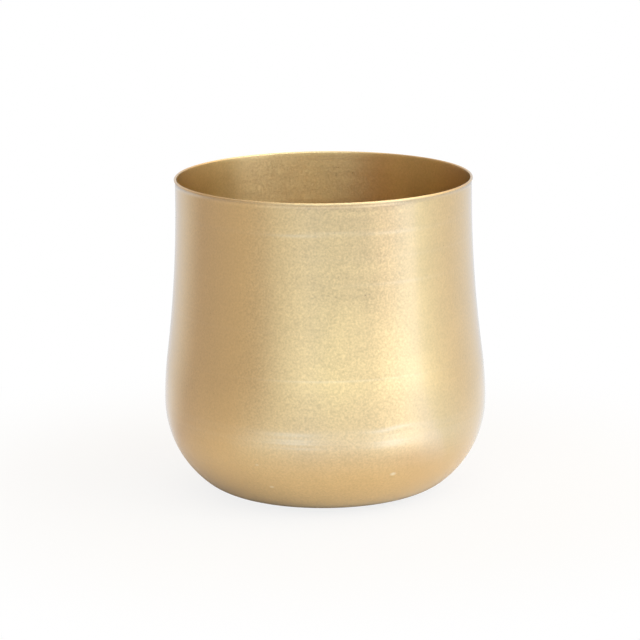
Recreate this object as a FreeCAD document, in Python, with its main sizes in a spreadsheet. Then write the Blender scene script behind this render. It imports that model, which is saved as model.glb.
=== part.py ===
import FreeCAD, Part
import math
import os

import Sketcher

# Cachepot: a round pot spun from one disc of sheet metal, narrowed above its belly to an upright
# collar with a small rolled lip, standing on four self-adhesive felt pads.
# Frame: millimetres, +Z up, origin on the table under the middle of the pot, -Y is the front.

# Name, millimetres (a share has no unit) and meaning of every driving dimension.
SIZES = [
    ("mouth_diameter", 146.4, "outside of the upright collar, lip not counted"),
    ("belly_bulge", 6.8, "how far the belly stands out past the collar, on the radius"),
    ("shell_height", 156.0, "underside of the flat base to the top of the lip"),
    ("collar_height", 7.5, "upright band from its lower edge to the top of the lip"),
    ("belly_height", 44.5, "underside of the flat base to the widest circle"),
    ("shoulder_share", 0.222, "share of the rise from belly to collar that bends outwards"),
    ("bowl_run", 34.5, "edge of the flat base out to the widest circle, on the radius"),
    ("base_corner_radius", 25.6, "outside radius where the flat base turns up"),
    ("wall_thickness", 0.8, "sheet, the same all over"),
    ("lip_overhang", 0.5, "how far the rolled lip stands out past the collar"),
    ("felt_diameter", 16.0, "felt pad and its adhesive disc, punched together"),
    ("felt_thickness", 2.0, "felt pad"),
    ("adhesive_thickness", 0.2, "adhesive disc between felt and base"),
    ("pad_inset", 3.0, "edge of the flat base to the edge of a pad"),
]

# Pads stand on the diagonals, a quarter turn apart. They are named anticlockwise as seen from
# above, and the first lies between +X and +Y.
PAD_CORNERS = ("back_right", "back_left", "front_left", "front_right")

# Expressions on the sheet that more than one piece uses.
MOUTH_RADIUS = "sizes.mouth_diameter / 2"
BELLY_RADIUS = "sizes.mouth_diameter / 2 + sizes.belly_bulge"
BASE_RADIUS = "sizes.mouth_diameter / 2 + sizes.belly_bulge - sizes.bowl_run"
LIP_RADIUS = "(sizes.wall_thickness + sizes.lip_overhang) / 2"
COLLAR_FOOT = "sizes.shell_height - sizes.collar_height"
PAD_RADIUS = "({} - sizes.pad_inset - sizes.felt_diameter / 2)".format(BASE_RADIUS)

START, END, CENTRE = 1, 2, 3  # a sketch element's points
ORIGIN = (-1, 1)  # the sketch's own origin point

doc = FreeCAD.newDocument("cachepot")


def add_size_sheet():
    """Spreadsheet of driving dimensions: name, plain number with that alias, meaning."""
    sheet = doc.addObject("Spreadsheet::Sheet", "sizes")
    for row, (name, number, meaning) in enumerate(SIZES, start=1):
        sheet.set("A{}".format(row), name)
        sheet.set("B{}".format(row), str(number))
        sheet.setAlias("B{}".format(row), name)
        sheet.set("C{}".format(row), meaning)
    doc.recompute()
    return sheet


def new_body(label):
    """Empty body, named and labelled as the piece that it will hold."""
    body = doc.addObject("PartDesign::Body", label)
    body.Label = label
    return body


def new_sketch(body, name, plane_role):
    """Sketch on one of the body's own origin planes."""
    sketch = body.newObject("Sketcher::SketchObject", name)
    plane = [item for item in body.Origin.OriginFeatures if item.Role == plane_role][0]
    sketch.AttachmentSupport = (plane, [""])
    sketch.MapMode = "FlatFace"
    return sketch


def line(start, end):
    """Line segment between two points of a sketch."""
    return Part.LineSegment(FreeCAD.Vector(*start), FreeCAD.Vector(*end))


def arc(centre, radius, first, last):
    """Arc that runs anticlockwise from the angle first to the angle last, in radians."""
    circle = Part.Circle(FreeCAD.Vector(*centre), FreeCAD.Vector(0, 0, 1), radius)
    return Part.ArcOfCircle(circle, first, last)


def tie(sketch, kind, *where):
    """One geometric constraint, such as Tangent or Coincident."""
    sketch.addConstraint(Sketcher.Constraint(kind, *where))


def size(sketch, kind, where, number, formula):
    """One dimension: set to number, then bound to a formula on the sheet."""
    index = sketch.addConstraint(Sketcher.Constraint(kind, *where, number))
    sketch.setExpression("Constraints[{}]".format(index), formula)


def outline_start(sheet):
    """Where the shell's outside arcs lie, worked out so that the sketch starts solved.

    The bowl is two arcs from the flat base to the belly: the corner, and one whose radius makes the
    two tangent. Above the belly an S of two tangent arcs, split at shoulder_share, ends upright.
    """
    mouth = sheet.mouth_diameter / 2
    belly = mouth + sheet.belly_bulge
    base = belly - sheet.bowl_run
    corner = sheet.base_corner_radius
    collar_foot = sheet.shell_height - sheet.collar_height
    rise = collar_foot - sheet.belly_height
    bowl = sheet.bowl_run**2 + sheet.belly_height**2 - 2 * sheet.belly_height * corner
    bowl /= 2 * (sheet.bowl_run - corner)
    both = (sheet.belly_bulge**2 + rise**2) / (2 * sheet.belly_bulge)
    shoulder = both * sheet.shoulder_share
    neck = both - shoulder
    return {
        "mouth": mouth,
        "base": base,
        "collar_foot": collar_foot,
        "corner": ((base, corner), corner),
        "bowl": ((belly - bowl, sheet.belly_height), bowl),
        "shoulder": ((belly - shoulder, sheet.belly_height), shoulder),
        "neck": ((mouth + neck, collar_foot), neck),
        "turn": math.atan2(corner - sheet.belly_height, base - belly + bowl),
        "lean": math.asin(rise / both),
    }


def draw_wall(sketch, sheet):
    """The wall's section: outside from the axis up to the lip, and inside back down to the axis."""
    at = outline_start(sheet)
    wall = sheet.wall_thickness
    lip = (wall + sheet.lip_overhang) / 2
    inside = at["mouth"] - wall
    lip_centre = (inside + lip, sheet.shell_height - lip)
    lip_foot = math.acos((wall - lip) / lip)
    outer_end = (at["mouth"], lip_centre[1] - lip * math.sin(lip_foot))
    down, level, back = -math.pi / 2, 0.0, math.pi

    def offset(name, change, first, last):
        centre, radius = at[name]
        return arc(centre, radius + change, first, last)

    return sketch.addGeometry(
        [
            line((0, 0), (at["base"], 0)),
            offset("corner", 0, down, at["turn"]),
            offset("bowl", 0, at["turn"], level),
            offset("shoulder", 0, level, at["lean"]),
            offset("neck", 0, back, back + at["lean"]),
            line((at["mouth"], at["collar_foot"]), outer_end),
            arc(lip_centre, lip, -lip_foot, back),
            line((inside, lip_centre[1]), (inside, at["collar_foot"])),
            offset("neck", wall, back, back + at["lean"]),
            offset("shoulder", -wall, level, at["lean"]),
            offset("bowl", -wall, at["turn"], level),
            offset("corner", -wall, down, at["turn"]),
            line((at["base"], wall), (0, wall)),
            line((0, wall), (0, 0)),
        ],
        False,
    )


def spun_shell(sheet):
    """The pot itself: one wall section turned round the axis, open at the top."""
    body = new_body("spun_shell")
    sketch = new_sketch(body, "wall_section", "XZ_Plane")
    (
        base_line,
        corner,
        bowl,
        shoulder,
        neck,
        collar_outside,
        lip,
        collar_inside,
        neck_inside,
        shoulder_inside,
        bowl_inside,
        corner_inside,
        floor_line,
        axis_line,
    ) = draw_wall(sketch, sheet)

    # Straight pieces
    for level_line in (base_line, floor_line):
        tie(sketch, "Horizontal", level_line)
    for upright_line in (collar_outside, collar_inside, axis_line):
        tie(sketch, "Vertical", upright_line)
    tie(sketch, "Coincident", base_line, START, *ORIGIN)
    tie(sketch, "Coincident", floor_line, END, axis_line, START)
    tie(sketch, "Coincident", axis_line, END, base_line, START)

    # Outside, from the base up: every joint is smooth, apart from the lip's foot
    tie(sketch, "Tangent", base_line, END, corner, START)
    tie(sketch, "Tangent", corner, END, bowl, START)
    tie(sketch, "Tangent", bowl, END, shoulder, START)
    tie(sketch, "Tangent", shoulder, END, neck, END)
    tie(sketch, "Tangent", neck, START, collar_outside, START)
    tie(sketch, "Coincident", collar_outside, END, lip, START)
    tie(sketch, "Horizontal", bowl, END, bowl, CENTRE)

    # Inside, from the lip down: each arc shares its centre with the arc outside it
    tie(sketch, "Tangent", lip, END, collar_inside, START)
    tie(sketch, "Tangent", collar_inside, END, neck_inside, START)
    tie(sketch, "Tangent", neck_inside, END, shoulder_inside, END)
    tie(sketch, "Tangent", shoulder_inside, START, bowl_inside, END)
    tie(sketch, "Tangent", bowl_inside, START, corner_inside, END)
    tie(sketch, "Tangent", corner_inside, START, floor_line, START)
    for inner, outer in (
        (neck_inside, neck),
        (shoulder_inside, shoulder),
        (bowl_inside, bowl),
        (corner_inside, corner),
    ):
        tie(sketch, "Coincident", inner, CENTRE, outer, CENTRE)

    # Sizes
    at = outline_start(sheet)
    wall = sheet.wall_thickness
    lip_size = (wall + sheet.lip_overhang) / 2
    belly = at["base"] + sheet.bowl_run
    rise = at["collar_foot"] - sheet.belly_height
    size(sketch, "DistanceX", (*ORIGIN, base_line, END), at["base"], BASE_RADIUS)
    size(sketch, "Radius", (corner,), sheet.base_corner_radius, "sizes.base_corner_radius")
    size(sketch, "DistanceX", (*ORIGIN, bowl, END), belly, BELLY_RADIUS)
    size(sketch, "DistanceY", (*ORIGIN, bowl, END), sheet.belly_height, "sizes.belly_height")
    size(
        sketch,
        "DistanceY",
        (shoulder, START, shoulder, END),
        sheet.shoulder_share * rise,
        "sizes.shoulder_share * ({} - sizes.belly_height)".format(COLLAR_FOOT),
    )
    size(sketch, "DistanceX", (*ORIGIN, collar_outside, START), at["mouth"], MOUTH_RADIUS)
    size(sketch, "DistanceY", (*ORIGIN, collar_outside, START), at["collar_foot"], COLLAR_FOOT)
    size(sketch, "Radius", (lip,), lip_size, LIP_RADIUS)
    size(
        sketch,
        "DistanceX",
        (collar_inside, START, collar_outside, START),
        wall,
        "sizes.wall_thickness",
    )
    size(
        sketch,
        "DistanceY",
        (*ORIGIN, lip, CENTRE),
        sheet.shell_height - lip_size,
        "sizes.shell_height - {}".format(LIP_RADIUS),
    )

    turned = body.newObject("PartDesign::Revolution", "turned_wall")
    turned.Profile = sketch
    turned.ReferenceAxis = (sketch, ["V_Axis"])
    turned.Angle = 360.0
    body.setExpression("Placement.Base.z", "sizes.felt_thickness + sizes.adhesive_thickness")
    return body, sketch


def disc(label, thickness_name):
    """Body with one punched disc as wide as a felt pad, its lower face at the body's own origin."""
    body = new_body(label)
    sketch = new_sketch(body, label + "_outline", "XY_Plane")
    circle = Part.Circle(FreeCAD.Vector(0, 0, 0), FreeCAD.Vector(0, 0, 1), sizes.felt_diameter / 2)
    ring = sketch.addGeometry(circle, False)
    tie(sketch, "Coincident", ring, CENTRE, *ORIGIN)
    size(sketch, "Diameter", (ring,), sizes.felt_diameter, "sizes.felt_diameter")
    punched = body.newObject("PartDesign::Pad", label + "_disc")
    punched.Profile = sketch
    punched.setExpression("Length", "sizes." + thickness_name)
    return body


def place_on_diagonal(body, turn_share, lift=None):
    """Moves a disc out to the pad circle at a share of a turn, and up by a formula on the sheet."""
    azimuth = "{} * 360 deg".format(turn_share)
    body.setExpression("Placement.Base.x", "{} * cos({})".format(PAD_RADIUS, azimuth))
    body.setExpression("Placement.Base.y", "{} * sin({})".format(PAD_RADIUS, azimuth))
    if lift:
        body.setExpression("Placement.Base.z", lift)


def felt_pad(corner_name, turn_share):
    """Felt disc on the table, punched square through the felt."""
    body = disc("felt_pad_" + corner_name, "felt_thickness")
    place_on_diagonal(body, turn_share)
    return body


def adhesive_disc(corner_name, turn_share):
    """Thin disc that holds a felt pad to the pot's base."""
    body = disc("adhesive_disc_" + corner_name, "adhesive_thickness")
    place_on_diagonal(body, turn_share, "sizes.felt_thickness")
    return body


def check_and_write(bodies):
    """Stops on any failed object or bad solid, and then writes one STEP file for each body."""
    doc.recompute()
    for item in doc.Objects:
        if {"Invalid", "Error"} & set(item.State):
            raise RuntimeError("{} failed: {}".format(item.Label, item.State))
    os.makedirs("parts", exist_ok=True)
    for body in bodies:
        if body.Shape.isNull() or not body.Shape.isValid():
            raise RuntimeError("{} has no valid shape".format(body.Label))
    for body in bodies:
        body.Shape.exportStep(os.path.join("parts", body.Label + ".step"))
        print(body.Label, "volume", round(body.Shape.Volume, 2), "mm3")


sizes = add_size_sheet()
shell, wall_sketch = spun_shell(sizes)
pieces = [shell]
for index, corner_name in enumerate(PAD_CORNERS):
    turn_share = (index + 0.5) / len(PAD_CORNERS)
    pieces.append(felt_pad(corner_name, turn_share))
    pieces.append(adhesive_disc(corner_name, turn_share))
check_and_write(pieces)
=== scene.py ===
"""Cachepot spun from sheet metal: the looks of the shell, its paint, the felt pads and their tape.

Metres, +Z up, origin on the table under the middle of the pot, -Y towards the camera.
"""
import math

import bpy
import numpy as np
from mathutils import Matrix, Vector


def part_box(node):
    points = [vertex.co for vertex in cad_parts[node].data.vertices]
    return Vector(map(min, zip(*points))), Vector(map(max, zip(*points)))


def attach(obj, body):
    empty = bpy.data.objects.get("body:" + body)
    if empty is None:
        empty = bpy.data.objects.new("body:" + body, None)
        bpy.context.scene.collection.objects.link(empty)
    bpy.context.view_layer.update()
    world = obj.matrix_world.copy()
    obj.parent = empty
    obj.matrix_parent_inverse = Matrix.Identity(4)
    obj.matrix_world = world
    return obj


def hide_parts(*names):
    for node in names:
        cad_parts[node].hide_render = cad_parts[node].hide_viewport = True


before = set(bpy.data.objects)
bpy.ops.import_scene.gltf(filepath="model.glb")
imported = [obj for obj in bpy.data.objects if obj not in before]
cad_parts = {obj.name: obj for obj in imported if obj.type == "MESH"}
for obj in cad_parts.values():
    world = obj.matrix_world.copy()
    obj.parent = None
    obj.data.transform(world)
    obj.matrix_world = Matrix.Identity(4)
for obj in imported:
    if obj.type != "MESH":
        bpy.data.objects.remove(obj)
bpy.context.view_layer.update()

MM = 0.001
FULL_TURN = 2 * math.pi

# The pot's outline, from the node's own box and from the sizes that the box doesn't give
SHELL_LOW, SHELL_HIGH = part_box("spun_shell")
BASE_Z = SHELL_LOW.z
TOP_Z = SHELL_HIGH.z
BELLY_RADIUS = SHELL_HIGH.x
BELLY_BULGE = 6.8 * MM
MOUTH_RADIUS = BELLY_RADIUS - BELLY_BULGE
COLLAR_HEIGHT = 7.5 * MM
BELLY_HEIGHT = 44.5 * MM
SHOULDER_SHARE = 0.222
BASE_RADIUS = BELLY_RADIUS - 34.5 * MM
CORNER_RADIUS = 25.6 * MM
WALL = 0.8 * MM
LIP_OVERHANG = 0.5 * MM
LIP_RADIUS = (WALL + LIP_OVERHANG) / 2

# Names of the shell's own attributes: how strong the highlight painted on the spinning marks is,
# 1 on the rolled lip, and metres inside under the rim
MARK_GLINT = "rubbed"
ON_LIP = "on_lip"
DEPTH_INSIDE = "depth_inside"

# How finely the shell is meshed
COLUMNS = 240
OUTLINE_STEP = 0.02 * MM
FEWEST_ARC_POINTS = 12
WALL_RINGS = 232
INSIDE_RINGS = 112
LIP_RINGS = 22
# More rings at a spinning mark, as a share of those elsewhere, and how many of its widths they reach
MORE_RINGS_SHARE = 3.0
MORE_RINGS_REACH = 1.6

# Marks that the spinning tool left outside: height over the base, depth and width in metres, then
# in degrees the azimuth where each is strongest (-90 faces the camera) and how far round it runs,
# the rise in metres to the degree, and how strong a highlight is painted on it in pale paint where
# the groove catches the lights
SPINNING_MARKS = [
    (140.2 * MM, 0.030 * MM, 1.5 * MM, -101.0, 6.0, 0.0, 0.22),
    (141.7 * MM, 0.020 * MM, 1.5 * MM, -86.0, 7.0, 0.0, 0.09),
    (140.6 * MM, 0.020 * MM, 2.0 * MM, -65.0, 7.0, 0.0, 0.11),
    (128.5 * MM, 0.014 * MM, 1.6 * MM, 30.0, 60.0, 0.0, 0.06),
    (116.0 * MM, 0.012 * MM, 1.6 * MM, -61.0, 12.0, 0.0, 0.08),
    (93.0 * MM, 0.014 * MM, 1.4 * MM, 150.0, 50.0, 0.0, 0.06),
    (70.4 * MM, 0.020 * MM, 0.9 * MM, -88.0, 18.0, 0.0, 0.16),
    (46.0 * MM, 0.015 * MM, 2.2 * MM, -67.0, 5.5, 0.196 * MM, 0.38),
    (42.8 * MM, 0.010 * MM, 2.0 * MM, -67.3, 5.0, 0.05 * MM, 0.08),
    (39.2 * MM, 0.030 * MM, 4.0 * MM, -66.8, 5.0, 0.05 * MM, 0.28),
    (44.5 * MM, 0.030 * MM, 1.6 * MM, -103.0, 6.0, 0.0, 0.36),
    (40.8 * MM, 0.030 * MM, 2.4 * MM, -101.5, 5.0, 0.0, 0.32),
    (37.7 * MM, 0.020 * MM, 1.4 * MM, -99.0, 5.0, 0.0, 0.16),
    (42.4 * MM, 0.010 * MM, 6.0 * MM, -102.0, 9.0, 0.0, 0.12),
    (27.0 * MM, 0.014 * MM, 1.6 * MM, 60.0, 50.0, 0.0, 0.06),
]
# A mark's strength far round the pot, how many of its spreads it takes to fade, and the share of
# its width over which its groove rises
FAINTEST_SHARE = 0.10
SPREADS_TO_FADE = 1.4
GROOVE_SIDE_SHARE = 0.5

# Ripples of the sheet: their lengths along it, and in radians how far the phase shifts from one
# length to the next and drifts round the pot, once and twice a turn, and where the second starts
RIPPLE_DEPTH = 0.004 * MM
RIPPLE_LENGTHS = [3.1 * MM, 5.3 * MM, 8.7 * MM, 13.0 * MM]
RIPPLE_SHIFT = 1.7
DRIFT_ONCE = 0.35
DRIFT_TWICE = 0.20
DRIFT_TWICE_START = 1.1

# Rings and the centre dimple under the base
BASE_RING_STEP = 6.5 * MM
BASE_RING_DEPTH = 0.03 * MM
BASE_RING_SHARPNESS = 6
CENTRE_DIMPLE_RADIUS = 3.5 * MM
CENTRE_DIMPLE_DEPTH = 0.12 * MM

# Colours, linear
PAINT_GOLD = (0.81, 0.585, 0.295, 1.0)
# Pale paint for the highlights painted on the marks, the lip and the nibs
PAINTED_HIGHLIGHT = (0.98, 0.88, 0.68, 1.0)
FELT_CHARCOAL = (0.030, 0.027, 0.024, 1.0)
TAPE_CREAM = (0.52, 0.49, 0.40, 1.0)
FLOOR_WHITE = (0.63, 0.59, 0.60, 1.0)
WHITE = (1.0, 1.0, 1.0, 1.0)

# Camera: the picture's principal point and focal length in its 640 pixels, how far away and how
# high the camera stands, its roll, its sensor's width in millimetres, and from where to where it
# sees
PICTURE_SIZE = 640
PRINCIPAL_X = 324.69
PRINCIPAL_Y = 330.5
FOCAL_PIXELS = 3413.0
CAMERA_DISTANCE = 1.70
CAMERA_ELEVATION = math.radians(12.71)
CAMERA_ROLL = math.radians(-0.53)
SENSOR_WIDTH = 36.0
CLIP_NEAR, CLIP_FAR = 0.1, 20.0


def arc_points(centre, radius, first, last):
    """Points of an arc a fine step apart: centre plus radius times cosine and sine of the angle."""
    count = max(int(abs(last - first) * radius / OUTLINE_STEP), FEWEST_ARC_POINTS)
    angle = np.linspace(first, last, count)
    return np.stack([centre[0] + radius * np.cos(angle), centre[1] + radius * np.sin(angle)], axis=1)


def line_points(start, end):
    """Points of a straight run a fine step apart."""
    length = math.dist(start, end)
    share = np.linspace(0.0, 1.0, max(int(length / OUTLINE_STEP), 2))[:, None]
    return np.array(start) * (1 - share) + np.array(end) * share


def wall_outline(offset):
    """Outline of one face of the wall from the axis up to the collar, offset inwards by a distance.

    A level line, the corner arc, the bowl arc, then an S of two arcs, each tangent to the next, and
    the upright collar. Heights count from the underside of the base.
    """
    collar_foot = TOP_Z - BASE_Z - COLLAR_HEIGHT
    run = BELLY_RADIUS - BASE_RADIUS
    bowl = (run**2 + BELLY_HEIGHT**2 - 2 * BELLY_HEIGHT * CORNER_RADIUS) / (2 * (run - CORNER_RADIUS))
    rise = collar_foot - BELLY_HEIGHT
    both = (BELLY_BULGE**2 + rise**2) / (2 * BELLY_BULGE)
    shoulder = both * SHOULDER_SHARE
    neck = both - shoulder
    turn = math.atan2(CORNER_RADIUS - BELLY_HEIGHT, BASE_RADIUS - BELLY_RADIUS + bowl)
    lean = math.asin(rise / both)
    lip_foot = TOP_Z - BASE_Z - LIP_RADIUS
    if offset == 0:
        lip_foot -= math.sqrt(LIP_RADIUS**2 - (WALL - LIP_RADIUS) ** 2)
    collar = MOUTH_RADIUS - offset
    runs = [
        line_points((0.0, offset), (BASE_RADIUS, offset)),
        arc_points((BASE_RADIUS, CORNER_RADIUS), CORNER_RADIUS - offset, -math.pi / 2, turn),
        arc_points((BELLY_RADIUS - bowl, BELLY_HEIGHT), bowl - offset, turn, 0.0),
        arc_points((BELLY_RADIUS - shoulder, BELLY_HEIGHT), shoulder - offset, 0.0, lean),
        arc_points((MOUTH_RADIUS + neck, collar_foot), neck + offset, math.pi + lean, math.pi),
        line_points((collar, collar_foot), (collar, lip_foot)),
    ]
    return np.concatenate([runs[0]] + [run_points[1:] for run_points in runs[1:]])


def lip_outline():
    """The rolled lip: a bead that starts where it meets the collar outside and ends inside."""
    centre = (MOUTH_RADIUS - WALL + LIP_RADIUS, TOP_Z - BASE_Z - LIP_RADIUS)
    foot = math.acos((WALL - LIP_RADIUS) / LIP_RADIUS)
    return arc_points(centre, LIP_RADIUS, -foot, math.pi)


def spaced(outline, count, closeness=None):
    """The outline at count places, closer together where closeness is high.

    Places are equal steps of the running sum of closeness times length along the outline.
    """
    steps = np.linalg.norm(np.diff(outline, axis=0), axis=1)
    weights = np.ones(len(steps)) if closeness is None else closeness
    along = np.concatenate([[0.0], np.cumsum(steps * weights)])
    wanted = np.linspace(0.0, along[-1], count)
    return np.stack([np.interp(wanted, along, outline[:, axis]) for axis in (0, 1)], axis=1)


def outside_closeness(outline):
    """Rings crowd round each spinning mark: one, plus a Gaussian of the mark's width at its height."""
    middle = (outline[1:] + outline[:-1]) / 2
    closeness = np.ones(len(middle))
    upright = middle[:, 0] > BASE_RADIUS
    for height, _, width, *_ in SPINNING_MARKS:
        away = (middle[:, 1] - height) / (MORE_RINGS_REACH * width)
        closeness += MORE_RINGS_SHARE * upright * np.exp(-(away**2))
    return closeness


def ripples(along, turn):
    """Depth of the ripples: a mean of sines of the distance along the sheet, whose phase drifts."""
    drift = DRIFT_ONCE * np.sin(turn) + DRIFT_TWICE * np.sin(2 * turn + DRIFT_TWICE_START)
    depth = np.zeros((len(along), len(turn)))
    for index, length in enumerate(RIPPLE_LENGTHS):
        wave = np.sin(FULL_TURN * along / length + RIPPLE_SHIFT * index + drift * (index + 1))
        depth += RIPPLE_DEPTH * (1 + wave) / len(RIPPLE_LENGTHS)
    return depth


def tooling_relief(section, turn):
    """How far the outside is pressed in at each ring and column, in metres, and how strong the
    highlight painted on its marks is.

    Ripples run all over it. Marks are Gaussian grooves that fade round the pot. Under the base are
    rings, a sharpened cosine of the radius, and a Gaussian dimple.
    """
    radius, height = section[:, :1], section[:, 1:]
    relief = ripples(radius + height, turn)
    painted_glints = np.zeros(relief.shape)
    on_wall = radius > BASE_RADIUS
    for height_at, depth, width, azimuth, spread, rise, glint_strength in SPINNING_MARKS:
        round_by = (turn - math.radians(azimuth) + math.pi) % FULL_TURN - math.pi
        near = np.exp(-((round_by / math.radians(SPREADS_TO_FADE * spread)) ** 2))
        strength = (FAINTEST_SHARE + (1 - FAINTEST_SHARE) * near) * on_wall
        middle = height_at + rise * np.degrees(round_by) * near
        groove = np.exp(-(((height - middle) / (GROOVE_SIDE_SHARE * width)) ** 2)) * strength
        relief += depth * groove
        # The highlight painted in pale paint along the groove, where it catches the lights
        painted_glints += glint_strength * groove
    under = radius <= BASE_RADIUS
    rings = ((1 + np.cos(FULL_TURN * radius / BASE_RING_STEP)) / 2) ** BASE_RING_SHARPNESS
    relief += BASE_RING_DEPTH * rings * under
    relief += CENTRE_DIMPLE_DEPTH * np.exp(-((radius / CENTRE_DIMPLE_RADIUS) ** 2)) * under
    return relief, painted_glints


def outward_normals(section):
    """Unit normals of a section that runs from the axis outwards and up: the tangent turned right."""
    tangent = np.gradient(section, axis=0)
    tangent /= np.linalg.norm(tangent, axis=1)[:, None]
    return np.stack([tangent[:, 1], -tangent[:, 0]], axis=1)


def revolve(section, relief, normals, turn):
    """Points of a turned surface: ring and column, at radius times cosine and sine, and height."""
    radius = section[:, :1] - relief * normals[:, :1]
    height = section[:, 1:] - relief * normals[:, 1:]
    radius = np.maximum(radius, 0.0)
    points = np.empty(relief.shape + (3,))
    points[..., 0] = radius * np.cos(turn)
    points[..., 1] = radius * np.sin(turn)
    points[..., 2] = height + BASE_Z
    return points


def ring_faces(rings, columns):
    """Quads between each ring and the next, closed round the turn, outwards for upward rings."""
    ring = np.arange(rings - 1)[:, None] * columns
    column = np.arange(columns)[None, :]
    after = (column + 1) % columns
    quads = [ring + column, ring + after, ring + columns + after, ring + columns + column]
    return np.stack(np.broadcast_arrays(*quads), axis=-1).reshape(-1, 4)


def turned_skin(points):
    """Points and faces of a grid of rings whose first and last ring are each closed at the middle."""
    rings, columns = points.shape[:2]
    poles = points[[0, -1]].mean(axis=1)
    column = np.arange(columns)
    after = (column + 1) % columns
    first_pole, last_pole = rings * columns, rings * columns + 1
    last = (rings - 1) * columns
    fans = [
        np.stack([np.full(columns, first_pole), after, column], axis=1),
        np.stack([np.full(columns, last_pole), last + column, last + after], axis=1),
    ]
    faces = ring_faces(rings, columns).tolist() + fans[0].tolist() + fans[1].tolist()
    return np.concatenate([points.reshape(-1, 3), poles]), faces


def new_piece(name, co, faces):
    """Smooth-shaded object of some points and faces, at the origin."""
    mesh = bpy.data.meshes.new(name)
    mesh.from_pydata(co.tolist(), [], faces)
    mesh.polygons.foreach_set("use_smooth", np.ones(len(mesh.polygons), bool))
    mesh.update()
    piece = bpy.data.objects.new(name, mesh)
    bpy.context.scene.collection.objects.link(piece)
    return piece


def add_attribute(mesh, name, values, first):
    """A number for each point: the values from a first point on, and zero elsewhere."""
    numbers = np.zeros(len(mesh.vertices))
    numbers[first : first + len(values)] = values
    attribute = mesh.attributes.new(name, "FLOAT", "POINT")
    attribute.data.foreach_set("value", numbers)


def spun_pot():
    """The shell as one closed skin: outside from the axis up, round the lip, and down inside."""
    turn = np.arange(COLUMNS) * FULL_TURN / COLUMNS
    outside = wall_outline(0.0)
    outside = spaced(outside, WALL_RINGS, outside_closeness(outside))[1:]
    lip = spaced(lip_outline(), LIP_RINGS)[1:-1]
    inside = spaced(wall_outline(WALL), INSIDE_RINGS)[:0:-1]
    relief, painted_glints = tooling_relief(outside, turn)
    still = np.zeros((len(lip) + len(inside), COLUMNS))
    section = np.concatenate([outside, lip, inside])
    pressed = np.concatenate([relief, still])
    skin = turned_skin(revolve(section, pressed, outward_normals(section), turn))
    piece = new_piece("painted_shell", *skin)
    # The shell carries the highlight painted on the spinning marks
    add_attribute(piece.data, MARK_GLINT, painted_glints.ravel(), 0)
    add_attribute(piece.data, ON_LIP, np.ones(len(lip) * COLUMNS), painted_glints.size)
    # The skin's last two points close it on the axis, under the base and then inside
    depths = TOP_Z - BASE_Z - np.repeat(inside[:, 1], COLUMNS)
    depths = np.append(depths, [0.0, depths[-1]])
    first_inside = (len(section) - len(inside)) * COLUMNS
    add_attribute(piece.data, DEPTH_INSIDE, depths, first_inside)
    return piece


# Felt pads: ring counts and rounded edges, the lower one worn and the upper one pressed
PAD_COLUMNS = 120
PAD_FACE_RINGS = 22
PAD_FIRST_RING_SHARE = 0.04
PAD_CORNER_RINGS = 5
PAD_WORN_CORNER = 0.45 * MM
PAD_PRESSED_CORNER = 0.15 * MM
# Lumps of the underside and ripples of the edge
LUMP_DEPTH = 0.07 * MM
LUMP_LENGTH = 2.4 * MM
LUMP_WAVES = 14
SHORTEST_WAVE_SHARE = 0.6
EDGE_RIPPLE = 0.11 * MM
EDGE_RIPPLE_LENGTH = LUMP_LENGTH / 3
EDGE_RIPPLE_SLANT = 2.0
EDGE_RIPPLE_SHARPNESS = 8
# Fibres that stand out of the punched edge. Slant and bend are ranges in radians: the first for a
# fibre as long as the pad's radius, the second at a fibre's end
FIBRES_PER_PAD = 150
FIBRE_LENGTHS = (0.5 * MM, 1.5 * MM)
FIBRE_ROOT = 0.35 * MM
FIBRE_OUT_SHARE = 0.5
FIBRE_SLANT = 1.6
FIBRE_BEND = 0.16
FIBRE_LOWEST_SHARE = 0.2
FIBRE_LEVELS_SHARE = 0.6
FIBRE_THICKNESS = 0.045 * MM
FIBRE_CLEARANCE = 2 * FIBRE_THICKNESS
FIBRE_TAPER_SHARE = 0.6
FIBRE_STATIONS = 5
FIBRE_SIDES = 3
UPWARDS = np.array([0.0, 0.0, 1.0])
FELT_SEED = 41


def pad_section(radius, thickness):
    """Half section of a pad: out along the underside, round both corners, and back along the top."""
    low, high = PAD_WORN_CORNER, PAD_PRESSED_CORNER
    sweep = np.linspace(0.0, math.pi / 2, PAD_CORNER_RINGS)[:, None]
    out = np.linspace(PAD_FIRST_RING_SHARE, 1.0, PAD_FACE_RINGS)[:, None]
    underside = np.hstack([out * (radius - low), out * 0.0])
    worn = np.hstack([radius - low + low * np.sin(sweep), low - low * np.cos(sweep)])
    pressed = np.hstack([radius - high + high * np.cos(sweep), thickness - high + high * np.sin(sweep)])
    back = out[::-1]
    top = np.hstack([back * (radius - high), back * 0.0 + thickness])
    return np.concatenate([underside, worn[1:], pressed, top[1:]])


def soft_waves(random, place_x, place_y, length):
    """Lumps between 0 and 1: sines added up, each with its own heading, length and phase."""
    total = np.zeros(np.broadcast(place_x, place_y).shape)
    for heading, stretch, phase in random.random((LUMP_WAVES, 3)):
        turn = heading * FULL_TURN
        along = place_x * math.cos(turn) + place_y * math.sin(turn)
        wave_length = length * (SHORTEST_WAVE_SHARE + stretch)
        total += np.sin(FULL_TURN * along / wave_length + phase * FULL_TURN)
    return (1 + np.tanh(total / math.sqrt(LUMP_WAVES))) / 2


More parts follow.
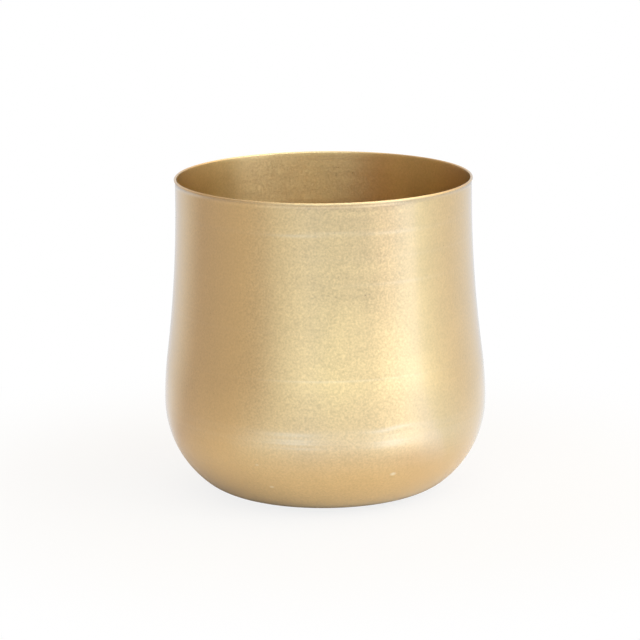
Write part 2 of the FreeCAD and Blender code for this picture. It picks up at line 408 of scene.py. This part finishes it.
def pad_skin(random, radius, thickness):
    """A punched felt disc round the origin: ripples at its edge and lumps on its underside."""
    section = pad_section(radius, thickness)
    turn = np.arange(PAD_COLUMNS) * FULL_TURN / PAD_COLUMNS
    out, height = section[:, :1], section[:, 1:]
    near_edge = (out / radius) ** EDGE_RIPPLE_SHARPNESS
    ripple_x = radius * np.cos(turn) + height * EDGE_RIPPLE_SLANT
    ripple_y = radius * np.sin(turn)
    ripple = soft_waves(random, ripple_x, ripple_y, EDGE_RIPPLE_LENGTH)
    reach = out - EDGE_RIPPLE * ripple * near_edge
    x, y = reach * np.cos(turn), reach * np.sin(turn)
    lumps = LUMP_DEPTH * soft_waves(random, x, y, LUMP_LENGTH)
    rise = lumps * (1 - height / thickness)
    return turned_skin(np.stack([x, y, height + rise], axis=2))


def fibre_lines(random, radius, thickness):
    """Middle lines of the fibres, and the azimuth of each of their points.

    A line starts under the skin and runs out at a slant: start plus heading times distance, plus a
    bend that grows with the square of the distance.
    """
    azimuth, level, slant, bend, size = random.random((5, FIBRES_PER_PAD, 1))
    length = FIBRE_LENGTHS[0] + (FIBRE_LENGTHS[1] - FIBRE_LENGTHS[0]) * size**2
    share = np.linspace(0.0, 1.0, FIBRE_STATIONS)[None, :]
    turn = azimuth * FULL_TURN + (slant - 0.5) * FIBRE_SLANT * share * length / radius
    turn = turn + (bend - 0.5) * FIBRE_BEND * share**2
    out = radius - FIBRE_ROOT + (length * FIBRE_OUT_SHARE + FIBRE_ROOT) * share
    height = thickness * (FIBRE_LOWEST_SHARE + FIBRE_LEVELS_SHARE * level)
    height = height + (bend - 0.5) * length * share**2
    height = np.clip(height, FIBRE_CLEARANCE, thickness - FIBRE_CLEARANCE)
    return np.stack([out * np.cos(turn), out * np.sin(turn), height], axis=2), turn


def edge_fibres(random, radius, thickness):
    """Points and faces of short bent fibres out of the punched edge.

    Each is a slender tube, closed at both ends: at each station of its middle line, corners at the
    cosine of an angle sideways and its sine upwards.
    """
    line, turn = fibre_lines(random, radius, thickness)
    share = np.linspace(0.0, 1.0, FIBRE_STATIONS)[None, :]
    corner = np.arange(FIBRE_SIDES) * FULL_TURN / FIBRE_SIDES
    thick = FIBRE_THICKNESS / 2 * (1 - FIBRE_TAPER_SHARE * share)[..., None]
    side = np.stack([-np.sin(turn), np.cos(turn), 0 * turn], axis=2)[:, :, None]
    ring = side * np.cos(corner)[:, None] * thick[..., None]
    ring = ring + UPWARDS * np.sin(corner)[:, None] * thick[..., None]
    co = line[:, :, None] + ring
    each = FIBRE_STATIONS * FIBRE_SIDES
    first = np.arange(FIBRES_PER_PAD)[:, None, None] * each
    quads = ring_faces(FIBRE_STATIONS, FIBRE_SIDES)[None] + first
    cap = np.arange(FIBRE_SIDES)
    caps = [cap[::-1] + first[:, 0], cap + first[:, 0] + each - FIBRE_SIDES]
    faces = quads.reshape(-1, 4).tolist() + np.concatenate(caps).tolist()
    return co.reshape(-1, 3), faces


def felt_pad(random, node_name):
    """One pad in the place and size of its CAD node."""
    low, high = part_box(node_name)
    radius = (high.x - low.x) / 2
    thickness = high.z - low.z
    skin, skin_faces = pad_skin(random, radius, thickness)
    fuzz, fuzz_faces = edge_fibres(random, radius - EDGE_RIPPLE, thickness)
    shifted = [[corner + len(skin) for corner in face] for face in fuzz_faces]
    middle = np.array([(low.x + high.x) / 2, (low.y + high.y) / 2, low.z])
    points = np.concatenate([skin, fuzz]) + middle
    piece = new_piece(node_name.replace("felt_pad", "needled_pad"), points, skin_faces + shifted)
    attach(piece, "root")
    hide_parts(node_name)
    return piece


class Term:
    """A node's output socket, with arithmetic that adds Math nodes to the same graph."""

    def __init__(self, graph, socket):
        self.graph = graph
        self.socket = socket

    def __add__(self, other):
        return self.graph.math("ADD", self, other)

    __radd__ = __add__

    def __sub__(self, other):
        return self.graph.math("SUBTRACT", self, other)

    def __rsub__(self, other):
        return self.graph.math("SUBTRACT", other, self)

    def __mul__(self, other):
        return self.graph.math("MULTIPLY", self, other)

    __rmul__ = __mul__

    def __truediv__(self, other):
        return self.graph.math("DIVIDE", self, other)

    def __pow__(self, other):
        return self.graph.math("POWER", self, other)


# Places of the colours among a Mix node's sockets, which share their names with others
MIX_FIRST, MIX_SECOND, MIX_RESULT = 6, 7, 2


class Graph:
    """Nodes of one material or of the world."""

    def __init__(self, tree):
        self.tree = tree
        tree.nodes.clear()

    def add(self, kind, settings=None, inputs=None, output=0):
        """A node of a type: its settings first, then the values or links of its sockets."""
        node = self.tree.nodes.new(kind)
        for name, value in (settings or {}).items():
            if name == "stops":
                self.set_stops(node.color_ramp, value)
            else:
                setattr(node, name, value)
        for name, value in (inputs or {}).items():
            if isinstance(value, Term):
                self.tree.links.new(value.socket, node.inputs[name])
            else:
                node.inputs[name].default_value = value
        return Term(self, node.outputs[output]) if len(node.outputs) else None

    @staticmethod
    def set_stops(ramp, stops):
        """Places and colours of a ramp."""
        while len(ramp.elements) < len(stops):
            ramp.elements.new(0.5)
        for element, (place, colour) in zip(ramp.elements, stops):
            element.position = place
            element.color = colour

    def math(self, operation, *values):
        """A Math node on terms or plain numbers."""
        return self.add("ShaderNodeMath", {"operation": operation}, dict(enumerate(values)))

    def mix(self, share, first, second, blend="MIX"):
        """Colour that goes from first to second as share goes from 0 to 1."""
        settings = {"data_type": "RGBA", "blend_type": blend}
        inputs = {0: share, MIX_FIRST: first, MIX_SECOND: second}
        return self.add("ShaderNodeMix", settings, inputs, MIX_RESULT)

    def scaled(self, colour, factor):
        """A colour times a number."""
        inputs = {0: colour, "Scale": factor}
        return self.add("ShaderNodeVectorMath", {"operation": "SCALE"}, inputs)

    def smooth_step(self, value, low, high):
        """0 up to low and 1 from high on, either way round, with a smooth curve between."""
        settings = {"interpolation_type": "SMOOTHSTEP"}
        return self.add("ShaderNodeMapRange", settings, {0: value, 1: low, 2: high})

    def noise(self, vector, scale, detail):
        """Soft noise between 0 and 1, scale cells to the metre."""
        inputs = {"Vector": vector, "Scale": scale, "Detail": detail}
        return self.add("ShaderNodeTexNoise", None, inputs)

    def attribute(self, name):
        """A number that the mesh holds for each of its points."""
        return self.add("ShaderNodeAttribute", {"attribute_name": name}, None, "Fac")

    def axes(self, vector):
        """The x, y and z of a vector."""
        return [self.add("ShaderNodeSeparateXYZ", None, {0: vector}, axis) for axis in range(3)]

    def object_place(self):
        """Object coordinates."""
        return self.add("ShaderNodeTexCoord", output="Object")

    def vector(self, x, y, z):
        """A vector from three terms or numbers."""
        return self.add("ShaderNodeCombineXYZ", None, {0: x, 1: y, 2: z})

    def bump(self, height):
        """The normal that a height in metres gives."""
        inputs = {"Distance": 1.0, "Strength": 1.0, "Height": height}
        return self.add("ShaderNodeBump", None, inputs)

    def surface(self, inputs):
        """The material's Principled shader, from the values and links of its sockets."""
        shader = self.add("ShaderNodeBsdfPrincipled", None, inputs)
        self.add("ShaderNodeOutputMaterial", None, {"Surface": shader})


def new_material(name):
    """Empty material and the graph of its nodes."""
    material = bpy.data.materials.new(name)
    material.use_nodes = True
    return material, Graph(material.node_tree)


# A noise runs from 0 to 1 round this
NOISE_MIDDLE = 0.5
# Gold paint: how close its flake, fine flake, clouds and streaks lie, streaks drawn out round the pot
FLAKE_PER_METRE = 1 / (1.05 * MM)
FINE_FLAKE_PER_METRE = 1 / (0.32 * MM)
CLOUD_PER_METRE = 1 / (16.0 * MM)
STREAK_PER_METRE = 1 / (1.3 * MM)
STREAK_ROUND_PER_METRE = 9.0
# How far each changes the colour, as a share of it
FLAKE_TONE_SHARE = 0.52
FINE_FLAKE_TONE_SHARE = 0.06
CLOUD_TONE_SHARE = 0.10
STREAK_TONE_SHARE = 0.05
# The flake shows less at the foot than higher up, and less round the sides and back than on the
# front, where -y is most of the radius
GRAIN_FROM, GRAIN_TO = 18.0 * MM, 48.0 * MM
FOOT_GRAIN_SHARE = 0.6
FRONT_FROM_SHARE, FRONT_TO_SHARE = 0.80, 0.90
SIDE_GRAIN_SHARE = 0.55
# Roughness of the paint, and how far each pattern changes it
PAINT_ROUGHNESS = 0.32
FLAKE_ROUGHNESS = 0.12
CLOUD_ROUGHNESS = 0.05
STREAK_ROUGHNESS = 0.07
# Height of the flake, and the fine flake's share of it
FLAKE_BUMP = 0.030 * MM
FINE_FLAKE_BUMP_SHARE = 0.15
# How strong the highlight painted on a spinning mark is between the streaks, and how much stronger
# on them
GLINT_LEAST_SHARE = 0.2
GLINT_STREAK_SHARE = 1.6
# The sprayed coat is rougher on the lip's edge, and a highlight is painted along it in pale paint
LIP_ROUGHER = 0.30
LIP_HIGHLIGHT = 0.22
# Deeper inside the sprayed coat gets thinner and browner
# Painted shade deep inside: depths where the paint starts and ends turning browner, and the brown it is
# multiplied by
INSIDE_SHADE_FROM, INSIDE_SHADE_TO = 20.0 * MM, 48.0 * MM
INSIDE_SHADE_TINT = (0.56, 0.40, 0.24, 1.0)
# Nibs of dust under the clear coat, each with a glint painted on it in pale paint: place, radius
# across and how strong each glint is
NIBS = [
    (Vector((32.3, -67.2, 24.1)) * MM, 2.30 * MM, 1.00),
    (Vector((-26.2, -65.8, 17.8)) * MM, 1.70 * MM, 0.70),
    (Vector((-33.2, -69.6, 29.8)) * MM, 1.50 * MM, 0.40),
]
NIB_HEIGHT = 0.10 * MM
NIB_FLATNESS = 1.7


def round_streaks(graph, x, y, along):
    """Streaks between 0 and 1: a noise drawn out round the pot, by the distance along the sheet."""
    round_x, round_y = x * STREAK_ROUND_PER_METRE, y * STREAK_ROUND_PER_METRE
    return graph.noise(graph.vector(round_x, round_y, along * STREAK_PER_METRE), scale=1.0, detail=3.0)


def flake_grain(graph, flake, fine_flake, y, z, radius):
    """Share of the colour that the flake adds or takes, less at the foot and off the front."""
    grain = (flake - NOISE_MIDDLE) * FLAKE_TONE_SHARE
    grain = grain + (fine_flake - NOISE_MIDDLE) * FINE_FLAKE_TONE_SHARE
    above_foot = graph.smooth_step(z, GRAIN_FROM, GRAIN_TO)
    grain = grain * (FOOT_GRAIN_SHARE + above_foot * (1 - FOOT_GRAIN_SHARE))
    on_front = graph.smooth_step(y * -1.0 / radius, FRONT_FROM_SHARE, FRONT_TO_SHARE)
    return grain * (SIDE_GRAIN_SHARE + on_front * (1 - SIDE_GRAIN_SHARE))


def paint_tone(grain, clouds, streaks):
    """Share of its own colour that the paint shows: one, plus what each pattern adds or takes."""
    tone = 1.0 + grain + (clouds - NOISE_MIDDLE) * CLOUD_TONE_SHARE
    return tone + (streaks - NOISE_MIDDLE) * STREAK_TONE_SHARE


def paint_roughness(on_lip, flake, clouds, streaks):
    """The paint's own roughness, more on the lip, plus what each pattern adds or takes."""
    roughness = PAINT_ROUGHNESS + on_lip * LIP_ROUGHER + (streaks - NOISE_MIDDLE) * STREAK_ROUGHNESS
    roughness = roughness + (clouds - NOISE_MIDDLE) * CLOUD_ROUGHNESS
    return roughness + (flake - NOISE_MIDDLE) * FLAKE_ROUGHNESS


def flake_height(flake, fine_flake):
    """Height of the flake in metres, above and below zero."""
    fine_height = (fine_flake - NOISE_MIDDLE) * (FINE_FLAKE_BUMP_SHARE * FLAKE_BUMP)
    return (flake - NOISE_MIDDLE) * FLAKE_BUMP + fine_height


def with_nibs(graph, x, y, z, height, highlight_share):
    """A height and a painted highlight with the nibs of dust added: their bump, and a glint painted on
    each.

    Each is a smooth step down from its middle, by the distance to it with z stretched.
    """
    stretched = graph.vector(x, y, z * NIB_FLATNESS)
    for centre, size, nib_glint in NIBS:
        middle = Vector((centre.x, centre.y, centre.z * NIB_FLATNESS))
        ends = {0: stretched, 1: middle}
        away = graph.add("ShaderNodeVectorMath", {"operation": "DISTANCE"}, ends, "Value")
        nib = graph.smooth_step(away, size, 0.0)
        height = height + nib * NIB_HEIGHT
        # A glint painted on each nib in pale paint
        highlight_share = highlight_share + nib * nib_glint
    return height, highlight_share


def gold_paint():
    """Metallic paint under a satin clear coat.

    Flake, clouds and streaks are noises that change its colour and roughness. Highlights are painted
    in pale paint on the spinning marks, at the nibs and on the lip, which is also rougher, and shade
    is painted in brown deep inside. Flake and nibs make the bump.
    """
    material, graph = new_material("satin_gold_paint")
    place = graph.object_place()
    x, y, z = graph.axes(place)
    radius = (x * x + y * y) ** 0.5
    streaks = round_streaks(graph, x, y, radius + z)
    flake = graph.noise(place, FLAKE_PER_METRE, detail=2.0)
    fine_flake = graph.noise(place, FINE_FLAKE_PER_METRE, detail=1.0)
    clouds = graph.noise(place, CLOUD_PER_METRE, detail=2.0)
    grain = flake_grain(graph, flake, fine_flake, y, z, radius)
    unshaded_paint = graph.scaled(PAINT_GOLD[:3], paint_tone(grain, clouds, streaks))
    # Painted shade: deeper inside, the paint is multiplied towards brown
    inside_shade = graph.smooth_step(graph.attribute(DEPTH_INSIDE), INSIDE_SHADE_FROM, INSIDE_SHADE_TO)
    coat = graph.mix(inside_shade, unshaded_paint, INSIDE_SHADE_TINT, "MULTIPLY")
    on_lip = graph.attribute(ON_LIP)
    # Highlight painted in pale paint along the spinning marks, stronger on the streaks
    rubbed = graph.attribute(MARK_GLINT) * (GLINT_LEAST_SHARE + streaks * GLINT_STREAK_SHARE)
    # The lip gets a painted highlight too
    highlight_share = rubbed + on_lip * LIP_HIGHLIGHT
    height = flake_height(flake, fine_flake)
    height, highlight_share = with_nibs(graph, x, y, z, height, highlight_share)
    graph.surface(
        {
            "Base Color": graph.mix(highlight_share, coat, PAINTED_HIGHLIGHT),
            "Metallic": 1.0,
            "Roughness": paint_roughness(on_lip, flake, clouds, streaks),
            "Anisotropic": 0.80,
            "Anisotropic Rotation": 0.25,
            "Coat Weight": 1.0,
            "Coat Roughness": 0.10,
            "Coat IOR": 1.5,
            "Normal": graph.bump(height),
        }
    )
    return material


# Felt: noise along, across and up its two sets of fibres, and lumps
FELT_ALONG_PER_METRE = 1500.0
FELT_ACROSS_PER_METRE = 9000.0
FELT_UP_PER_METRE = 6000.0
FELT_LUMPS_PER_METRE = 700.0
FELT_DARKEST_SHARE = 0.15
FELT_WEB_SHARE = 1.7
FELT_WEB_BUMP = 0.20 * MM
FELT_LUMP_BUMP = 0.10 * MM


def felt_material():
    """Needled charcoal felt: a web of two noises drawn out along x and along y, over soft lumps."""
    material, graph = new_material("needled_felt")
    place = graph.object_place()
    x, y, z = graph.axes(place)
    up = z * FELT_UP_PER_METRE
    along_x = graph.vector(x * FELT_ALONG_PER_METRE, y * FELT_ACROSS_PER_METRE, up)
    along_y = graph.vector(x * FELT_ACROSS_PER_METRE, y * FELT_ALONG_PER_METRE, up)
    fibres = graph.noise(along_x, scale=1.0, detail=3.0)
    crossing = graph.noise(along_y, scale=1.0, detail=3.0)
    web = (fibres + crossing) / 2
    lumps = graph.noise(place, FELT_LUMPS_PER_METRE, detail=2.0)
    graph.surface(
        {
            "Base Color": graph.scaled(FELT_CHARCOAL[:3], FELT_DARKEST_SHARE + web * FELT_WEB_SHARE),
            "Roughness": 0.95,
            "Sheen Weight": 0.35,
            "Normal": graph.bump(web * FELT_WEB_BUMP + lumps * FELT_LUMP_BUMP),
        }
    )
    return material


# Tape: its clouds, and how far they change its colour, roughness and height
TAPE_CLOUDS_PER_METRE = 350.0
TAPE_DARKEST_SHARE = 0.88
TAPE_CLOUD_SHARE = 0.24
TAPE_ROUGHNESS = 0.5
TAPE_CLOUD_ROUGHNESS = 0.1
TAPE_BUMP = 0.02 * MM


def tape_material():
    """Milky double-sided tape: slight clouding and a soft bump."""
    material, graph = new_material("double_sided_tape")
    clouds = graph.noise(graph.object_place(), TAPE_CLOUDS_PER_METRE, detail=3.0)
    graph.surface(
        {
            "Base Color": graph.scaled(TAPE_CREAM[:3], TAPE_DARKEST_SHARE + clouds * TAPE_CLOUD_SHARE),
            "Roughness": TAPE_ROUGHNESS + clouds * TAPE_CLOUD_ROUGHNESS,
            "Normal": graph.bump(clouds * TAPE_BUMP),
        }
    )
    return material


# Studio: colours of what surrounds the pot, linear, by azimuth in degrees: 0 is the camera's side,
# 90 the right, -90 the left. First far off on the floor, then at the horizon, then above it, and
# last a glare on the floor near the pot
FLOOR_GLOSS = [
    (-180, (0.80, 0.82, 0.86)),
    (-130, (0.72, 0.72, 0.74)),
    (-105, (0.53, 0.47, 0.44)),
    (-60, (0.70, 0.63, 0.53)),
    (-35, (0.70, 0.71, 0.70)),
    (-10, (0.60, 0.64, 0.77)),
    (8, (0.60, 0.63, 0.75)),
    (30, (0.58, 0.61, 0.75)),
    (49, (0.56, 0.54, 0.74)),
    (58, (0.71, 0.79, 1.12)),
    (70, (0.89, 1.01, 1.38)),
    (72, (0.76, 0.88, 1.02)),
    (105, (0.82, 0.84, 0.86)),
    (180, (0.80, 0.82, 0.86)),
]
HORIZON = [
    (-180, (0.80, 0.82, 0.86)),
    (-130, (0.70, 0.70, 0.72)),
    (-105, (0.57, 0.52, 0.47)),
    (-52, (0.64, 0.60, 0.54)),
    (-34, (0.78, 0.82, 0.88)),
    (-8, (0.47, 0.55, 0.86)),
    (4, (0.45, 0.51, 0.72)),
    (40, (0.42, 0.47, 0.68)),
    (57, (0.90, 1.14, 1.62)),
    (73, (1.13, 1.43, 1.95)),
    (75, (0.98, 1.20, 1.36)),
    (110, (0.80, 0.84, 0.86)),
    (180, (0.80, 0.82, 0.86)),
]
ABOVE = [
    (-180, (0.75, 0.62, 0.45)),
    (-150, (1.05, 0.82, 0.56)),
    (-135, (0.95, 0.72, 0.48)),
    (-112, (0.26, 0.16, 0.09)),
    (-48, (0.26, 0.16, 0.09)),
    (-25, (2.10, 2.45, 2.20)),
    (0, (3.35, 3.90, 3.40)),
    (25, (3.50, 4.00, 3.70)),
    (50, (3.40, 3.85, 3.50)),
    (75, (3.20, 3.30, 2.70)),
    (100, (2.60, 2.05, 1.20)),
    (130, (1.30, 0.95, 0.60)),
    (180, (0.75, 0.62, 0.45)),
]
NEAR_GLARE = [
    (-180, (0.0, 0.0, 0.0)),
    (-60, (0.0, 0.0, 0.0)),
    (-35, (0.16, 0.22, 0.32)),
    (5, (0.34, 0.38, 0.42)),
    (22, (0.42, 0.48, 0.52)),
    (38, (0.85, 0.98, 1.05)),
    (52, (0.85, 0.98, 1.00)),
    (64, (0.15, 0.18, 0.18)),
    (76, (0.0, 0.0, 0.0)),
]
OVERHEAD = (1.30, 1.15, 0.90, 1.0)
# Sines of the elevation where the horizon gives way to what is above it, and that to overhead
ABOVE_FROM, ABOVE_TO = 0.12, 0.42
OVERHEAD_FROM, OVERHEAD_TO = 0.62, 0.85

# Floor: its side, metres from the pot's axis where the seen shadow has faded and where reflections
# show the studio's tone in full, the share of each where that starts, and how much of the shadow is
# left to see
FLOOR_SIZE = 4.0
FLOOR_SHADE_RADIUS = 0.28
FLOOR_SHADE_CORE_SHARE = 0.4
GLOSS_SHADE_RADIUS = 0.15
GLOSS_SHADE_CORE_SHARE = 0.5
SHADOW_SHARE = 0.16
# In reflections, a brighter pool of painted light round the pot, and the glare's ring
POOL_EDGE = 0.33
POOL_FADE = 0.05
POOL_GAIN = 0.12
GLARE_FROM, GLARE_TO = 0.13, 0.27
GLARE_FADE = 0.02


def by_azimuth(graph, x, y, colours):
    """Colour by the azimuth of a place or direction, from a list of azimuths and colours."""
    turn_share = graph.math("ARCTAN2", x, y * -1.0) / FULL_TURN + 0.5
    stops = [(azimuth / 360 + 0.5, colour + (1.0,)) for azimuth, colour in colours]
    return graph.add("ShaderNodeValToRGB", {"stops": stops}, {0: turn_share})


def studio_world():
    """Soft light from all round, by azimuth and height, and plain white where the camera sees it."""
    world = bpy.data.worlds.new("studio")
    bpy.context.scene.world = world
    world.use_nodes = True
    graph = Graph(world.node_tree)
    x, y, z = graph.axes(graph.add("ShaderNodeTexCoord", output="Generated"))
    low = by_azimuth(graph, x, y, HORIZON)
    high = by_azimuth(graph, x, y, ABOVE)
    walls = graph.mix(graph.smooth_step(z, ABOVE_FROM, ABOVE_TO), low, high)
    light = graph.mix(graph.smooth_step(z, OVERHEAD_FROM, OVERHEAD_TO), walls, OVERHEAD)
    camera_ray = graph.add("ShaderNodeLightPath", output="Is Camera Ray")
    seen = graph.mix(camera_ray, light, WHITE)
    shader = graph.add("ShaderNodeBackground", None, {"Color": seen, "Strength": 1.0})
    graph.add("ShaderNodeOutputWorld", None, {"Surface": shader})


def reflected_floor(graph, x, y, away):
    """The floor's tone in reflections: the studio's at each azimuth, its pool, and the near glare."""
    in_pool = graph.smooth_step(away, POOL_EDGE + POOL_FADE, POOL_EDGE - POOL_FADE)
    far_tone = graph.scaled(by_azimuth(graph, x, y, FLOOR_GLOSS), 1.0 + in_pool * POOL_GAIN)
    past_inner = graph.smooth_step(away, GLARE_FROM - GLARE_FADE, GLARE_FROM + GLARE_FADE)
    within_outer = graph.smooth_step(away, GLARE_TO + GLARE_FADE, GLARE_TO - GLARE_FADE)
    glare = graph.scaled(by_azimuth(graph, x, y, NEAR_GLARE), past_inner * within_outer)
    return graph.add("ShaderNodeVectorMath", {"operation": "ADD"}, {0: far_tone, 1: glare})


def pale_floor():
    """A lit floor that glows instead far off: white to the camera, the studio's tone in reflections.

    Near the pot the camera sees a share of its soft shadow, and a reflection sees the lit floor.
    """
    material, graph = new_material("pale_floor")
    x, y, _ = graph.axes(graph.object_place())
    away = (x * x + y * y) ** 0.5
    camera_ray = graph.add("ShaderNodeLightPath", output="Is Camera Ray")
    glossy_ray = graph.add("ShaderNodeLightPath", output="Is Glossy Ray")
    tone = graph.mix(camera_ray, reflected_floor(graph, x, y, away), WHITE)
    glow = graph.add("ShaderNodeEmission", None, {"Color": tone, "Strength": 1.0})
    lit = graph.add("ShaderNodeBsdfDiffuse", None, {"Color": FLOOR_WHITE})
    shade_core = FLOOR_SHADE_RADIUS * FLOOR_SHADE_CORE_SHARE
    gloss_core = GLOSS_SHADE_RADIUS * GLOSS_SHADE_CORE_SHARE
    plain = graph.smooth_step(away, shade_core, FLOOR_SHADE_RADIUS)
    gloss_plain = graph.smooth_step(away, gloss_core, GLOSS_SHADE_RADIUS)
    seen_white = camera_ray * (1.0 - SHADOW_SHARE + plain * SHADOW_SHARE)
    glowing = seen_white + glossy_ray * gloss_plain
    shader = graph.add("ShaderNodeMixShader", None, {0: glowing, 1: lit, 2: glow})
    graph.add("ShaderNodeOutputMaterial", None, {"Surface": shader})
    return material


def studio_floor():
    """A square of pale floor under the pot."""
    half = FLOOR_SIZE / 2
    mesh = bpy.data.meshes.new("floor")
    corners = [(-half, -half, 0.0), (half, -half, 0.0), (half, half, 0.0), (-half, half, 0.0)]
    mesh.from_pydata(corners, [], [(0, 1, 2, 3)])
    mesh.materials.append(pale_floor())
    floor = bpy.data.objects.new("floor", mesh)
    bpy.context.scene.collection.objects.link(floor)


# Soft boxes: azimuth and elevation in degrees, distance, width and height in metres, and watts
SOFT_BOXES = {
    "key_box": (58.0, 30.0, 1.7, 0.9, 0.8, 4.5),
    "side_box": (-16.0, 16.0, 1.7, 0.30, 0.6, 0.2),
}
LAMP_AIM = Vector((0.0, 0.0, 80.0)) * MM


def soft_box(name, azimuth, elevation, distance, width, height, watts):
    """A soft lamp that faces the pot and that the camera doesn't see."""
    lamp = bpy.data.lights.new(name, "AREA")
    lamp.shape = "RECTANGLE"
    lamp.size = width
    lamp.size_y = height
    lamp.energy = watts
    box = bpy.data.objects.new(name, lamp)
    level = math.cos(math.radians(elevation))
    turn = math.radians(azimuth)
    away = Vector((level * math.sin(turn), -level * math.cos(turn), math.sin(math.radians(elevation))))
    aim = away.to_track_quat("Z", "Y")
    box.matrix_world = Matrix.Translation(LAMP_AIM + away * distance) @ aim.to_matrix().to_4x4()
    box.visible_camera = False
    bpy.context.scene.collection.objects.link(box)


def photo_camera():
    """Camera at the photo's viewing angle, rolled and shifted as the picture is framed."""
    data = bpy.data.cameras.new("camera")
    data.sensor_width = SENSOR_WIDTH
    data.lens = FOCAL_PIXELS / PICTURE_SIZE * SENSOR_WIDTH
    data.shift_x = (PICTURE_SIZE / 2 - PRINCIPAL_X) / PICTURE_SIZE
    data.shift_y = (PRINCIPAL_Y - PICTURE_SIZE / 2) / PICTURE_SIZE
    data.clip_start = CLIP_NEAR
    data.clip_end = CLIP_FAR
    camera = bpy.data.objects.new("camera", data)
    middle = Vector((0.0, 0.0, (BASE_Z + TOP_Z) / 2))
    back = Vector((0.0, -math.cos(CAMERA_ELEVATION), math.sin(CAMERA_ELEVATION)))
    look = (-back).to_track_quat("-Z", "Y").to_matrix().to_4x4()
    place = Matrix.Translation(middle + back * CAMERA_DISTANCE)
    camera.matrix_world = place @ look @ Matrix.Rotation(CAMERA_ROLL, 4, "Z")
    bpy.context.scene.collection.objects.link(camera)
    bpy.context.scene.camera = camera


def dress_pot():
    """Every piece of the object with its finish."""
    gold, felt, tape = gold_paint(), felt_material(), tape_material()
    shell = spun_pot()
    shell.data.materials.append(gold)
    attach(shell, "root")
    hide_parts("spun_shell")
    random = np.random.default_rng(FELT_SEED)
    for name, node in sorted(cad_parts.items()):
        if name.startswith("felt_pad"):
            felt_pad(random, name).data.materials.append(felt)
        elif name.startswith("adhesive"):
            node.data.materials.clear()
            node.data.materials.append(tape)


bpy.context.scene.view_settings.view_transform = "Standard"
dress_pot()
studio_world()
studio_floor()
for box_name, box_values in SOFT_BOXES.items():
    soft_box(box_name, *box_values)
photo_camera()
